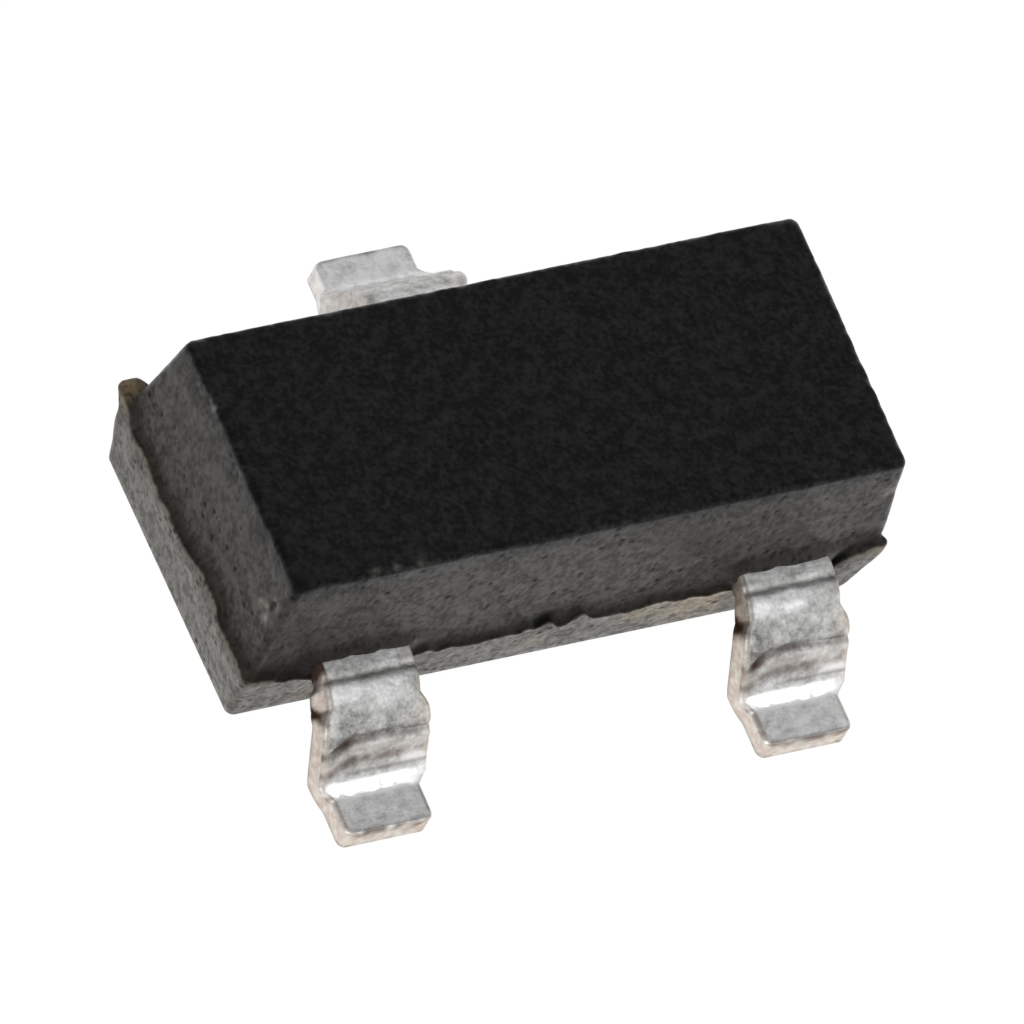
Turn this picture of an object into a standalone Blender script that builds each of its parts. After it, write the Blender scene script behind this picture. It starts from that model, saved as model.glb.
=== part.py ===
# Three-lead surface-mount MOSFET: a moulded black body, three gull-wing leads and what it holds inside.
# Frame: +Z up, X along the body, one lead at the back (+Y) and two at the front (-Y).
# The feet stand on Z = 0 and the body is centred on X = Y = 0.

import math

import bmesh
import bpy
from mathutils import Vector

mm = 0.001

# Moulded body
body_length = 2.93 * mm
body_width = 1.31 * mm
upper_height = 0.575 * mm
lower_height = 0.33 * mm
standoff = 0.07 * mm
upper_draft = math.radians(5.5)
lower_draft = math.radians(7.5)
lower_end_draft = math.radians(10)
corner_radius = 0.035 * mm
edge_radius = 0.016 * mm
parting_land = 0.012 * mm
parting_ledge = 0.02 * mm
mismatch = 0.008 * mm

# Lead frame strip
sheet = 0.11 * mm
neck_width = 0.42 * mm
foot_width = 0.40 * mm
lead_pitch = 1.90 * mm
edge_roll = 0.018 * mm
edge_burr = 0.004 * mm

# Gull-wing form, measured out from the side of the body
strip_reach = 0.09 * mm
crease_depth = 0.012 * mm
crease_width = 0.045 * mm
crease_past_knee = 0.03 * mm
knee_reach = 0.235 * mm
knee_drop = 0.08 * mm
lead_reach = 0.595 * mm
foot_length = 0.225 * mm
bend_radius = 0.045 * mm
toe_radius = 0.035 * mm

# What is left of the bars that tied the leads together before they were cut apart
bar_stub = 0.032 * mm
bar_before_knee = 0.08 * mm
bar_flare = 0.08 * mm
bar_past_knee = 0.20 * mm
foot_taper = 0.145 * mm

# Die paddle on the drain lead
paddle_width = 1.00 * mm
paddle_depth = 0.58 * mm
paddle_wall = 0.17 * mm
paddle_corner = 0.05 * mm
lock_hole = 0.13 * mm

# Bonding posts on the gate and source leads
post_inboard = 0.30 * mm
post_outboard = 0.24 * mm
post_depth = 0.34 * mm
post_wall = 0.12 * mm
post_corner = 0.05 * mm

# Silicon die and the layer that holds it down
die_size = 0.50 * mm
die_height = 0.15 * mm
die_from_edge = 0.26 * mm
attach_height = 0.02 * mm
attach_margin = 0.03 * mm
attach_head_margin = 0.008 * mm
attach_lip_height = 0.007 * mm
pad_height = 0.004 * mm
pad_margin = 0.04 * mm
gate_pad_size = 0.13 * mm
pad_split = 0.03 * mm

# Bond wires
wire_diameter = 0.038 * mm
ball_diameter = 0.085 * mm
ball_height = 0.028 * mm
ball_foot_diameter = 0.073 * mm
ball_crown_diameter = 0.068 * mm
ball_swell = 0.007 * mm
ball_neck = 0.004 * mm
loop_height = 0.13 * mm
loop_start_pull = 0.16 * mm
loop_end_pull = 0.045 * mm
loop_end_lean = 0.45
stitch_width = 0.075 * mm
stitch_height = 0.012 * mm
stitch_length = 0.07 * mm
post_landing = 0.12 * mm
landing_inboard = 0.08 * mm
source_wire_gap = 0.13 * mm

# Clearances
mould_gap = 0.002 * mm
seat_gap = 0.0005 * mm

# Fineness of the round stretches
corner_steps = 6
edge_steps = 3
roll_steps = 3
bend_steps = 7
wire_sides = 10
loop_steps = 18
stitch_steps = 4
hole_sides = 20
sharp_angle = math.radians(32)
closest_rings = 0.0005 * mm

parting_height = standoff + lower_height
frame_middle = parting_height
frame_top = frame_middle + sheet / 2
half_width = body_width / 2
neck_half = neck_width / 2
foot_half = foot_width / 2
toe = half_width + lead_reach
paddle_outer = half_width - paddle_wall
paddle_inner = paddle_outer - paddle_depth
post_outer = half_width - post_wall
post_inner = post_outer - post_depth


def clear_scene():
    for old in list(bpy.data.objects):
        bpy.data.objects.remove(old, do_unlink=True)


def principled(name, colour, roughness, metallic):
    material = bpy.data.materials.new(name)
    material.use_nodes = True
    shader = material.node_tree.nodes["Principled BSDF"]
    shader.inputs["Base Color"].default_value = (*colour, 1.0)
    shader.inputs["Roughness"].default_value = roughness
    shader.inputs["Metallic"].default_value = metallic
    material.diffuse_color = (*colour, 1.0)
    return material


def add_object(name, bm, material=None):
    """Turn a bmesh into a named object, round faces smooth and real edges sharp."""
    bmesh.ops.recalc_face_normals(bm, faces=bm.faces)
    mesh = bpy.data.meshes.new(name)
    bm.to_mesh(mesh)
    bm.free()
    mesh.shade_smooth()
    mesh.set_sharp_from_angle(angle=sharp_angle)
    if material is not None:
        mesh.materials.append(material)
    item = bpy.data.objects.new(name, mesh)
    bpy.context.scene.collection.objects.link(item)
    return item


def loft(rings):
    """A closed skin over rings of equal count, with a flat cap at each end."""
    bm = bmesh.new()
    loops = [[bm.verts.new(point) for point in ring] for ring in rings]
    count = len(loops[0])
    for lower, upper in zip(loops, loops[1:]):
        for i in range(count):
            j = (i + 1) % count
            bm.faces.new((lower[i], lower[j], upper[j], upper[i]))
    bm.faces.new(loops[0][::-1])
    bm.faces.new(loops[-1])
    return bm


def prism(outline, low, high):
    """A flat outline carried straight up from one height to another."""
    return loft([[Vector((x, y, z)) for x, y in outline] for z in (low, high)])


def rectangle(x0, x1, y0, y1):
    return [(x0, y0), (x1, y0), (x1, y1), (x0, y1)]


def combine(item, guide, operation):
    """Cut an object with another or join it on; the other is kept only as a hidden guide."""
    guide.hide_render = True
    guide.display_type = "WIRE"
    step = item.modifiers.new(guide.name, "BOOLEAN")
    step.operation = operation
    step.solver = "EXACT"
    step.object = guide


# Moulded body: two drafted halves that meet at the parting line


def rounded_ring(half_x, half_y, radius, height, shift=0.0):
    """A rectangle with round corners, as a ring at one height."""
    ring = []
    corners = ((1, 1, 0), (-1, 1, 90), (-1, -1, 180), (1, -1, 270))
    for side_x, side_y, start in corners:
        for step in range(corner_steps + 1):
            angle = math.radians(start + 90 * step / corner_steps)
            x = side_x * (half_x - radius) + radius * math.cos(angle)
            y = side_y * (half_y - radius) + radius * math.sin(angle)
            ring.append(Vector((x + shift, y + shift, height)))
    return ring


def half_rings(height, end_draft, side_draft, inset, direction):
    """Rings of one mould half: an upright land at the parting line, drafted walls, a rounded far edge."""
    shift = direction * mismatch / 2
    rises = [(0.0, inset), (parting_land, inset)]
    for step in range(edge_steps + 1):
        angle = math.radians(90 * step / edge_steps)
        pull = edge_radius * (1 - math.cos(angle))
        rises.append((height - edge_radius * (1 - math.sin(angle)), inset + pull))
    rings = []
    for rise, pull in rises:
        drafted = max(rise - parting_land, 0.0)
        half_x = body_length / 2 - drafted * math.tan(end_draft) - pull
        half_y = half_width - drafted * math.tan(side_draft) - pull
        rings.append(rounded_ring(half_x, half_y, corner_radius, parting_height + direction * rise, shift))
    return rings


def moulded_block():
    """The upper half stands on a ledge of the lower one, a hair out of line, as the mould's halves were."""
    lower = half_rings(lower_height, lower_end_draft, lower_draft, 0.0, -1)
    upper = half_rings(upper_height, upper_draft, upper_draft, parting_ledge, 1)
    return loft(lower[::-1] + upper)


# Leads: a flat stamped outline bent along a side profile


def upright(slope):
    """The direction square to a slope, on its upper side."""
    return Vector((-math.sin(slope), math.cos(slope)))


def bent_path(corners, radius):
    """Centre line through corners with round bends, as (developed length, out, up, slope) stations."""
    corners = [Vector(corner) for corner in corners]
    runs = [ahead - here for here, ahead in zip(corners, corners[1:])]
    slopes = [math.atan2(run.y, run.x) for run in runs]
    points = [(corners[0], slopes[0])]
    for here, slope_in, slope_out in zip(corners[1:], slopes, slopes[1:]):
        turn = slope_out - slope_in
        side = math.copysign(1, turn)
        start = here - Vector((math.cos(slope_in), math.sin(slope_in))) * radius * math.tan(abs(turn) / 2)
        centre = start + upright(slope_in) * radius * side
        for step in range(bend_steps + 1):
            slope = slope_in + turn * step / bend_steps
            points.append((centre - upright(slope) * radius * side, slope))
    points.append((corners[-1], slopes[-1]))
    stations = []
    length = corners[0].x
    last = corners[0]
    for point, slope in points:
        length += (point - last).length
        last = point
        stations.append((length, point.x, point.y, slope))
    return stations


def gull_wing(inner_end, outer_end=None):
    """Side profile of a lead, from its inner end out to the toe or to a nearer end."""
    if outer_end is not None:
        corners = [(inner_end, frame_middle), (outer_end, frame_middle)]
    else:
        corners = [
            (inner_end, frame_middle),
            (half_width + strip_reach, frame_middle),
            (half_width + knee_reach, frame_middle - knee_drop),
            (toe - foot_length, sheet / 2),
            (toe, sheet / 2),
        ]
    return bent_path(corners, bend_radius + sheet / 2)


def at_length(table, length):
    """Straight-line reading of a table of (length, value, value...) rows."""
    if length <= table[0][0]:
        return table[0][1:]
    for low, high in zip(table, table[1:]):
        if length <= high[0]:
            span = high[0] - low[0]
            part = (length - low[0]) / span if span else 1.0
            return tuple(a + (b - a) * part for a, b in zip(low[1:], high[1:]))
    return table[-1][1:]


def quarter_turn():
    """Angles of a quarter turn, in the steps of a rolled edge."""
    return [math.radians(90 * step / roll_steps) for step in range(roll_steps + 1)]


def sheet_section(left, right, thickness, dent):
    """Section of the stamped strip: rolled upper edges, a fine burr below, the top pressed in by a dent."""
    low = -thickness / 2
    high = thickness / 2 - dent
    section = [(left + edge_burr, low), (right - edge_burr, low), (right, low + edge_burr)]
    for side, edge, start in ((1, right, 0.0), (-1, left, math.radians(90))):
        for turned in quarter_turn():
            x = edge + edge_roll * (math.cos(start + turned) - side)
            section.append((x, high + edge_roll * (math.sin(start + turned) - 1)))
    section.append((left, low + edge_burr))
    return section


def outer_rows(knee, end):
    """Flat outline past the body: neck, cut stubs swelling out about the knee, foot with a round toe."""
    rows = []
    for angle in quarter_turn():
        along = knee - bar_before_knee + bar_flare * angle / math.radians(90)
        rows.append((along, neck_half + bar_stub * math.sin(angle)))
    rows.append((knee + bar_past_knee, neck_half + bar_stub))
    rows.append((knee + bar_past_knee + foot_taper, foot_half))
    for angle in quarter_turn():
        along = end - toe_radius * (1 - math.sin(angle))
        rows.append((along, foot_half - toe_radius * (1 - math.cos(angle))))
    return [(length, -half, half) for length, half in rows]


def crease_rows(knee):
    """How far the forming tools pressed into the top of the strip, close to the body and at the knee."""
    rows = []
    for middle in (half_width + strip_reach, knee + crease_past_knee):
        rows += [
            (middle - crease_width / 2, 0.0),
            (middle, crease_depth),
            (middle + crease_width / 2, 0.0),
        ]
    return rows


def spaced(marks):
    """Marks in order, without those that all but fall on the one before."""
    kept = []
    for mark in sorted(marks):
        if not kept or mark - kept[-1] > closest_rings:
            kept.append(mark)
    return kept


def strip(inner_rows, grow=0.0, outer_end=None):
    """Loft a lead from its flat outline; grow makes the space that the moulding leaves for it."""
    first = inner_rows[0][0]
    stations = gull_wing(first, outer_end)
    rows = list(inner_rows)
    dents = [(first, 0.0)]
    if outer_end is None:
        by_reach = [(out, length) for length, out, up, slope in stations]
        (knee,) = at_length(by_reach, half_width + knee_reach)
        rows += outer_rows(knee, stations[-1][0])
        dents += crease_rows(knee)
    rings = []
    for length in spaced(row[0] for row in stations + rows + dents):
        out, up, slope = at_length(stations, length)
        left, right = at_length(rows, length)
        (dent,) = at_length(dents, length)
        over = Vector((0, *upright(slope)))
        section = sheet_section(left, right, sheet + 2 * grow, dent)
        rings.append([Vector((x, out, up)) + over * z for x, z in section])
    return loft(rings)


def paddle_rows(grow=0.0):
    """Flat outline of the drain lead inside the body: the die paddle and its neck."""
    half = paddle_width / 2 + grow
    neck = neck_half + grow
    inner = paddle_inner - grow
    outer = paddle_outer + grow
    return [
        (inner, -half + paddle_corner, half - paddle_corner),
        (inner + paddle_corner, -half, half),
        (outer - paddle_corner, -half, half),
        (outer, -half + paddle_corner, half - paddle_corner),
        (outer + paddle_corner, -neck, neck),
    ]


def post_rows(inboard, grow=0.0):
    """Flat outline of a front lead inside the body; inboard says which side faces the middle."""
    reach = {inboard: post_inboard + grow, -inboard: post_outboard + grow}
    left, right = -reach[-1], reach[1]
    neck = neck_half + grow
    inner = post_inner - grow
    outer = post_outer + grow
    return [
        (inner, left + post_corner, right - post_corner),
        (inner + post_corner, left, right),
        (outer - post_corner, left, right),
        (outer, -neck, neck),
    ]


def lock_pin(gap):
    """A pin through the outer edge of the paddle: the moulding that fills it holds the lead in place."""
    radius = lock_hole / 2 - gap
    turns = [2 * math.pi * i / hole_sides for i in range(hole_sides)]
    outline = [(radius * math.cos(turn), paddle_outer + radius * math.sin(turn)) for turn in turns]
    return prism(outline, frame_middle - sheet, frame_middle + sheet)


def add_lead(name, rows_of, front_x, material, body):
    """One lead, with the space that it fills cut out of the moulded body."""
    lead = add_object(name, strip(rows_of(0.0)), material)
    space = add_object(name + "_space", strip(rows_of(mould_gap), mould_gap, half_width + strip_reach / 2))
    if front_x is None:
        for item, gap in ((lead, 0.0), (space, mould_gap)):
            combine(item, add_object(item.name + "_lock", lock_pin(gap)), "DIFFERENCE")
    else:
        for item in (lead, space):
            item.rotation_euler = (0, 0, math.pi)
            item.location = (front_x, 0, 0)
    combine(body, space, "DIFFERENCE")
    return lead


# Die, its bond pads and the layer that holds it down

die_middle = paddle_inner + die_from_edge
attach_low = frame_top + seat_gap
die_low = attach_low + attach_height + seat_gap
die_top = die_low + die_height
pad_top = die_top + pad_height


def die_outline(grow=0.0):
    half = die_size / 2 + grow
    return rectangle(-half, half, die_middle - half, die_middle + half)


def attach_layer(grow=0.0):
    """The layer under the die, squeezed out a little all round."""
    foot = die_outline(attach_margin + grow)
    head = die_outline(attach_head_margin + grow)
    levels = [
        (foot, attach_low - grow),
        (foot, attach_low + attach_lip_height),
        (head, attach_low + attach_height + grow),
    ]
    return loft([[Vector((x, y, z)) for x, y in outline] for outline, z in levels])


def pad_outlines():
    """Gate pad in the front left corner of the die, and the source pad over the rest, stepped round it."""
    left = -die_size / 2 + pad_margin
    right = die_size / 2 - pad_margin
    front = die_middle - die_size / 2 + pad_margin
    rear = die_middle + die_size / 2 - pad_margin
    gate_right = left + gate_pad_size
    gate_rear = front + gate_pad_size
    gate = rectangle(left, gate_right, front, gate_rear)
    source = [
        (gate_right + pad_split, front),
        (right, front),
        (right, rear),
        (left, rear),
        (left, gate_rear + pad_split),
        (gate_right + pad_split, gate_rear + pad_split),
    ]
    return {"gate": gate, "source": source}


# Bond wires: ball on the die, loop, flattened stitch on the post


def smooth_step(part):
    return part * part * (3 - 2 * part)


def wire_stations(start, finish, grow):
    """Stations of a wire: (point, half width, half height), the ball first and the stitch last."""
    ahead = Vector((finish.x - start.x, finish.y - start.y, 0)).normalized()
    wire = wire_diameter / 2
    ball_shape = [
        (-grow, ball_foot_diameter),
        (ball_swell, ball_diameter),
        (ball_height - ball_swell, ball_diameter),
        (ball_height, ball_crown_diameter),
        (ball_height + ball_neck, wire_diameter),
    ]
    stations = [(start + Vector((0, 0, rise)), across / 2, across / 2) for rise, across in ball_shape]
    neck = stations[-1][0]
    crest = start + Vector((0, 0, loop_height))
    touch = finish - ahead * stitch_length
    seat = Vector((touch.x, touch.y, finish.z + wire))
    handle_up = neck + Vector((0, 0, loop_start_pull))
    handle_down = seat + (crest - seat) * loop_end_lean + Vector((0, 0, loop_end_pull))
    for step in range(1, loop_steps + 1):
        part = step / loop_steps
        rest = 1 - part
        point = (
            neck * rest**3
            + handle_up * (3 * rest * rest * part)
            + handle_down * (3 * rest * part * part)
            + seat * part**3
        )
        stations.append((point, wire, wire))
    for step in range(1, stitch_steps + 1):
        part = step / stitch_steps
        flat = smooth_step(part)
        height = wire + (stitch_height / 2 - wire) * flat
        width = wire + (stitch_width / 2 - wire) * flat
        point = seat + ahead * (stitch_length * part)
        stations.append((Vector((point.x, point.y, finish.z + height)), width, height))
    end_point, end_width, end_height = stations[-1]
    stations[-1] = (end_point + ahead * grow, end_width, end_height)
    return stations


def bond_wire(start, finish, grow=0.0):
    """Loft a bond wire along its loop."""
    stations = wire_stations(start, finish, grow)
    side = Vector((finish.y - start.y, start.x - finish.x, 0)).normalized()
    rings = []
    for i, (point, width, height) in enumerate(stations):
        back = stations[max(i - 1, 0)][0]
        ahead = stations[min(i + 1, len(stations) - 1)][0]
        along = (ahead - back).normalized()
        over = side.cross(along).normalized()
        ring = []
        for k in range(wire_sides):
            angle = 2 * math.pi * k / wire_sides
            ring.append(
                point
                + side * ((width + grow) * math.cos(angle))
                + over * ((height + grow) * math.sin(angle))
            )
        rings.append(ring)
    return loft(rings)


def wire_plan():
    """Start and finish of each wire, from the pads on the die to the posts of the front leads."""
    pads = pad_outlines()
    pad_level = pad_top + seat_gap
    post_level = frame_top + seat_gap
    gate_x = (pads["gate"][0][0] + pads["gate"][1][0]) / 2
    gate_y = (pads["gate"][1][1] + pads["gate"][2][1]) / 2
    gate_start = Vector((gate_x, gate_y, pad_level))
    source_x = (pads["source"][0][0] + pads["source"][1][0]) / 2
    source_start = Vector((source_x, die_middle, pad_level))
    landing_x = lead_pitch / 2 - landing_inboard
    landing_y = -(post_inner + post_landing)
    gate_finish = Vector((-landing_x, landing_y, post_level))
    source_finish = Vector((landing_x, landing_y, post_level))
    apart = Vector((source_wire_gap / 2, source_wire_gap / 2, 0))
    return {
        "gate_wire": (gate_start, gate_finish),
        "source_wire_front": (source_start - apart, source_finish - apart),
        "source_wire_rear": (source_start + apart, source_finish + apart),
    }


def build():
    clear_scene()
    epoxy = principled("black_epoxy", (0.012, 0.012, 0.013), 0.72, 0.0)
    tin = principled("tin_plate", (0.62, 0.61, 0.60), 0.38, 1.0)
    silicon = principled("silicon", (0.10, 0.11, 0.14), 0.22, 0.5)
    silver_glue = principled("silver_epoxy", (0.42, 0.41, 0.40), 0.55, 0.7)
    gold = principled("gold", (0.83, 0.56, 0.25), 0.25, 1.0)

    body = add_object("mould_body", moulded_block(), epoxy)
    add_lead("drain_lead", paddle_rows, None, tin, body)
    add_lead("gate_lead", lambda grow: post_rows(-1, grow), -lead_pitch / 2, tin, body)
    add_lead("source_lead", lambda grow: post_rows(1, grow), lead_pitch / 2, tin, body)

    add_object("die_attach", attach_layer(), silver_glue)
    combine(body, add_object("die_attach_space", attach_layer(mould_gap)), "DIFFERENCE")

    die = add_object("silicon_die", prism(die_outline(), die_low, die_top), silicon)
    for name, outline in pad_outlines().items():
        pad = prism(outline, die_top - pad_height, pad_top)
        combine(die, add_object(name + "_pad_guide", pad), "UNION")
    die_space = prism(die_outline(mould_gap), die_low - mould_gap, pad_top + mould_gap)
    combine(body, add_object("silicon_die_space", die_space), "DIFFERENCE")

    for name, (start, finish) in wire_plan().items():
        add_object(name, bond_wire(start, finish), gold)
        combine(body, add_object(name + "_space", bond_wire(start, finish, mould_gap)), "DIFFERENCE")


build()
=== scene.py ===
# A three-lead surface-mount MOSFET on a white sweep: black moulded body, tin-plated gull-wing leads.
# Numbers in the dictionaries are millimetres and degrees, and a mesh is turned to metres when it is made.
# X runs along the body, the two front leads point to -Y and the single back lead to +Y.

import math
from itertools import product

import bpy
import numpy as np
from mathutils import Matrix, Vector


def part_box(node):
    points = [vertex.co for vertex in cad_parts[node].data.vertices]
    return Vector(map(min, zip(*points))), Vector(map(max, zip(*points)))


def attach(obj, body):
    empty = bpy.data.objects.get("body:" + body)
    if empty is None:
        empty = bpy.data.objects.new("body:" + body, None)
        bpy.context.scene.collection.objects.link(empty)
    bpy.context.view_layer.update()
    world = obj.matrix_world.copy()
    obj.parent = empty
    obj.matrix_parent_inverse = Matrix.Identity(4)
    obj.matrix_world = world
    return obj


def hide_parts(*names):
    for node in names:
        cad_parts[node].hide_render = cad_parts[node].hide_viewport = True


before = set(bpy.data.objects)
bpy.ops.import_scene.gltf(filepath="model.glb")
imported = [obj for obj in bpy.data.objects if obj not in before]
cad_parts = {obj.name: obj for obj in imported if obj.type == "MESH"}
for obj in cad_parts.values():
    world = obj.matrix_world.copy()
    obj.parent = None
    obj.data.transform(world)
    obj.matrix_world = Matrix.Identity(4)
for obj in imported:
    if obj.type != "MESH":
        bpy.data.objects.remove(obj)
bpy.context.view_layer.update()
scene = bpy.context.scene
mm = 0.001
print("packed model loaded, nodes:", len(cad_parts))


# small helpers

def hexColour(code):
    # sRGB hex to the linear colour that a shader wants
    parts = [int(code[start:start + 2], 16) / 255 for start in (1, 3, 5)]
    linear = [part / 12.92 if part <= 0.04045 else ((part + 0.055) / 1.055) ** 2.4 for part in parts]
    return (*linear, 1.0)


def addNode(tree, kind, inputs=None, stops=None, **settings):
    # one node with its settings; an input is a plain value or the socket that feeds it
    node = tree.nodes.new(kind)
    for name, value in settings.items():
        setattr(node, name, value)
    for name, value in (inputs or {}).items():
        if isinstance(value, bpy.types.NodeSocket):
            tree.links.new(value, node.inputs[name])
        else:
            node.inputs[name].default_value = value
    for spot, (place, grey) in enumerate(stops or []):
        ramp = node.color_ramp.elements
        stop = ramp[spot] if spot < 2 else ramp.new(place)
        stop.position = place
        stop.color = (grey, grey, grey, 1.0)
    return node


def newMaterial(name):
    material = bpy.data.materials.new(name)
    material.use_nodes = True
    tree = material.node_tree
    return material, tree, tree.nodes["Principled BSDF"]


def newPainted(name):
    # a material that reads the four marks painted on its mesh
    material, tree, shader = newMaterial(name)
    place = addNode(tree, "ShaderNodeTexCoord").outputs["Object"]
    marks = addNode(tree, "ShaderNodeAttribute", attribute_name="marks")
    painted = addNode(tree, "ShaderNodeSeparateColor", {"Color": marks.outputs["Color"]})
    red, green, blue = (painted.outputs[name] for name in ("Red", "Green", "Blue"))
    return material, tree, shader, place, (red, green, blue, marks.outputs["Alpha"])


def perSize(size):
    # texture scale at which one swell of a pattern is that many millimetres wide
    return 1 / (size * mm)


def swells(points, size, seed):
    # a smooth random field from -1 to 1 at the points, its swells about as wide as size
    grid = np.random.default_rng(seed).uniform(-1, 1, (40, 40, 40))
    cells = np.floor(points / size).astype(int)
    part = points / size - cells
    part = part * part * (3 - 2 * part)
    total = np.zeros(points.shape[:-1])
    for corner in product((0, 1), repeat=3):
        share = np.prod(np.where(np.array(corner) == 1, part, 1 - part), axis=-1)
        spot = (cells + corner) % 40
        total += share * grid[spot[..., 0], spot[..., 1], spot[..., 2]]
    return total


def layered(points, waves, seed):
    # fields of swells on top of each other, each with its height and size
    return sum(height * swells(points, size, seed + step) for step, (height, size) in enumerate(waves))


def hump(value, middle, width):
    # 1 at the middle, falling to nothing over about the width
    return np.exp(-((value - middle) / width) ** 2)


def rise(value, start, end):
    # 0 before start, 1 after end, smooth between
    part = np.clip((value - start) / (end - start), 0, 1)
    return part * part * (3 - 2 * part)


def between(value, start, full, fading, end):
    # 1 from full to fading, 0 outside start and end, smooth in the gaps
    return rise(value, start, full) * (1 - rise(value, fading, end))


def spotsOn(points, spots):
    # soft round spots added up, each with its place, size and strength
    return sum(strength * hump(np.linalg.norm(points - np.array(place), axis=-1), 0, size)
               for place, size, strength in spots)


def makeSkin(name, rings, marks, material, node):
    # closed skin over rings of points, with a painted mark (four values) on each point
    rows, count = rings.shape[:2]
    index = np.arange(rows * count).reshape(rows, count)
    beside = np.roll(index, -1, axis=1)
    quads = np.stack([index[:-1], beside[:-1], beside[1:], index[1:]], axis=-1).reshape(-1, 4)
    faces = quads.tolist() + [index[0, ::-1].tolist(), index[-1].tolist()]
    mesh = bpy.data.meshes.new(name)
    mesh.from_pydata((rings.reshape(-1, 3) * mm).tolist(), [], faces)
    mesh.shade_smooth()
    layer = mesh.attributes.new("marks", "FLOAT_COLOR", "POINT")
    layer.data.foreach_set("color", np.clip(marks, 0, 1).astype(np.float32).ravel())
    mesh.materials.append(material)
    item = bpy.data.objects.new(name, mesh)
    scene.collection.objects.link(item)
    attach(item, "root")
    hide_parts(node)
    print("made", name, "points:", rows * count)


# camera: the photograph's view, all but parallel

cameraSet = {
    "azimuth": -49.12,
    "elevation": 53.51,
    "roll": 31.14,
    "aim": (-0.0315, -0.1595, 0.4052),
    "distance": 138.61,
    "lens": 1226.9,
    "sensor": 36.0,
    "clip": (1.0, 2000.0),
}

azimuth, elevation, roll = (math.radians(cameraSet[name]) for name in ("azimuth", "elevation", "roll"))
back = Vector((
    math.sin(azimuth) * math.cos(elevation),
    -math.cos(azimuth) * math.cos(elevation),
    math.sin(elevation),
))
level = Vector((math.cos(azimuth), math.sin(azimuth), 0))
upright = back.cross(level)
across = level * math.cos(roll) + upright * math.sin(roll)
upward = upright * math.cos(roll) - level * math.sin(roll)
turn = Matrix((across, upward, back)).transposed().to_4x4()
cameraData = bpy.data.cameras.new("camera")
cameraData.lens = cameraSet["lens"]
cameraData.sensor_width = cameraSet["sensor"]
cameraData.clip_start, cameraData.clip_end = (limit * mm for limit in cameraSet["clip"])
camera = bpy.data.objects.new("camera", cameraData)
standing = (Vector(cameraSet["aim"]) + back * cameraSet["distance"]) * mm
camera.matrix_world = Matrix.Translation(standing) @ turn
scene.collection.objects.link(camera)
scene.camera = camera
scene.view_settings.view_transform = "Standard"
print("camera set")


# studio: white floor, white sweep round it, a dimmer ceiling, two softboxes

studioSet = {
    "floorSize": 400.0,
    "floorWhite": "#ffffff",
    "floorShare": 0.93,  # share of the floor's own white, the rest is lit card and takes the shadow
    "floorWhiteness": 1.05,
    "cardLit": "#f4f4f4",
    "cardRoughness": 0.9,
    "ceiling": 0.52,
    "ceilingMiddle": 0.58,
    "sweepTop": 0.12,
    "ceilingStart": 0.42,
    "softboxes": {
        "softboxLeft": {"towards": (-0.72, -0.50, 0.48), "away": 400.0, "size": (260.0, 260.0), "shine": 2.9},
        "stripboxRight": {"towards": (0.45, -0.642, 0.620), "away": 400.0, "size": (22.0, 580.0), "shine": 6.0},
    },
}

world = bpy.data.worlds.new("whiteSweep")
scene.world = world
world.use_nodes = True
tree = world.node_tree
tree.nodes.clear()
direction = addNode(tree, "ShaderNodeTexCoord")
heights = addNode(tree, "ShaderNodeSeparateXYZ", {"Vector": direction.outputs["Generated"]})
sweep = addNode(
    tree, "ShaderNodeValToRGB", {"Fac": heights.outputs["Z"]},
    stops=[
        (studioSet["sweepTop"], 1.0),
        (1.0, studioSet["ceiling"]),
        (studioSet["ceilingStart"], studioSet["ceilingMiddle"]),
    ],
)
room = addNode(tree, "ShaderNodeBackground", {"Color": sweep.outputs["Color"]})
seen = addNode(tree, "ShaderNodeBackground", {"Color": hexColour("#ffffff")})
rays = addNode(tree, "ShaderNodeLightPath")
pick = addNode(tree, "ShaderNodeMixShader", {"Fac": rays.outputs["Is Camera Ray"]})
tree.links.new(room.outputs["Background"], pick.inputs[1])
tree.links.new(seen.outputs["Background"], pick.inputs[2])
addNode(tree, "ShaderNodeOutputWorld", {"Surface": pick.outputs["Shader"]})

# matt white card, uncoated: an even white with the faintest shadow
floorMaterial, tree, shader = newMaterial("whiteCardSweep")
shader.inputs["Base Color"].default_value = hexColour(studioSet["cardLit"])
shader.inputs["Roughness"].default_value = studioSet["cardRoughness"]
glow = addNode(tree, "ShaderNodeEmission", {
    "Color": hexColour(studioSet["floorWhite"]),
    "Strength": studioSet["floorWhiteness"],
})
rays = addNode(tree, "ShaderNodeLightPath")
white = rays.outputs["Is Camera Ray"]
for kind in ("Is Glossy Ray", "Is Transmission Ray"):
    white = addNode(tree, "ShaderNodeMath", {0: white, 1: rays.outputs[kind]}, operation="MAXIMUM").outputs[0]
share = addNode(tree, "ShaderNodeMath", {0: white, 1: studioSet["floorShare"]}, operation="MULTIPLY")
pick = addNode(tree, "ShaderNodeMixShader", {"Fac": share.outputs[0]})
tree.links.new(shader.outputs["BSDF"], pick.inputs[1])
tree.links.new(glow.outputs["Emission"], pick.inputs[2])
tree.links.new(pick.outputs["Shader"], tree.nodes["Material Output"].inputs["Surface"])

half = studioSet["floorSize"] / 2 * mm
floorMesh = bpy.data.meshes.new("floor")
corners = [(-half, -half, 0), (half, -half, 0), (half, half, 0), (-half, half, 0)]
floorMesh.from_pydata(corners, [], [(0, 1, 2, 3)])
floorMesh.materials.append(floorMaterial)
floor = bpy.data.objects.new("floor", floorMesh)
scene.collection.objects.link(floor)

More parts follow.
